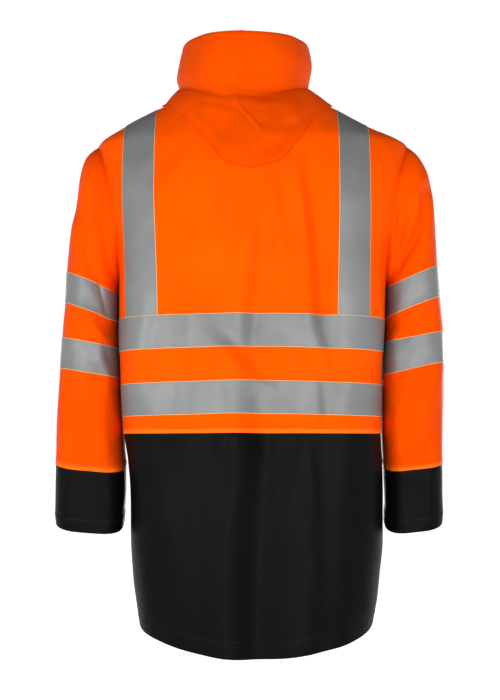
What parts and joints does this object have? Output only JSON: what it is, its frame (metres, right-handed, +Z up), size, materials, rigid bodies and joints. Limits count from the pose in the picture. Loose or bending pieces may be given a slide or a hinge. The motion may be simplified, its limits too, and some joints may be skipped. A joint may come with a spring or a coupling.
{
  "type": "hi-vis work jacket",
  "caption": "Hip-length high-visibility rain jacket with a turned-down hood, full front zip, contrast lower panels and cuffs, and reflective bands round body, sleeves and shoulders.",
  "frame": {"origin": "middle of the wearer's neck at the height of the collar seam, where the garment is held", "axes": "+Z up; the back of the jacket faces +Y and its front -Y; the wearer's left is +X"},
  "size_m": [0.6062, 0.2947, 0.9481],
  "materials": {
    "orange_cloth": "smooth coated rainwear with a soft sheen, fluorescent orange",
    "black_cloth": "smooth coated rainwear with a soft sheen, black",
    "reflective_tape": "matt silver-grey reflective tape",
    "zip_black": "black woven tape with moulded teeth",
    "zip_metal": "dark satin metal"
  },
  "bodies": {
    "jacket": {"back_upper": "orange_cloth", "back_lower": "black_cloth", "front_left_upper": "orange_cloth", "front_left_lower": "black_cloth", "front_right_upper": "orange_cloth", "front_right_lower": "black_cloth", "sleeve_left": "orange_cloth", "sleeve_right": "orange_cloth", "cuff_left": "black_cloth", "cuff_right": "black_cloth", "collar": "orange_cloth", "hood_left": "orange_cloth", "hood_right": "orange_cloth", "tape_chest_back": "reflective_tape", "tape_chest_front_left": "reflective_tape", "tape_chest_front_right": "reflective_tape", "tape_waist_back": "reflective_tape", "tape_waist_front_left": "reflective_tape", "tape_waist_front_right": "reflective_tape", "brace_left": "reflective_tape", "brace_right": "reflective_tape", "tape_sleeve_left_1": "reflective_tape", "tape_sleeve_left_2": "reflective_tape", "tape_sleeve_right_1": "reflective_tape", "tape_sleeve_right_2": "reflective_tape", "zip_left": "zip_black", "zip_right": "zip_black", "zip_slider": "zip_metal"},
    "pull": {"zip_pull": "zip_metal"}
  },
  "joints": [
    {"name": "zip_pull_swing", "type": "hinge", "parent": "jacket", "child": "pull", "pos_m": [0.0004, -0.09667, 0.0025], "axis": [-1, 0, 0], "range_deg": [0, 140]}
  ]
}
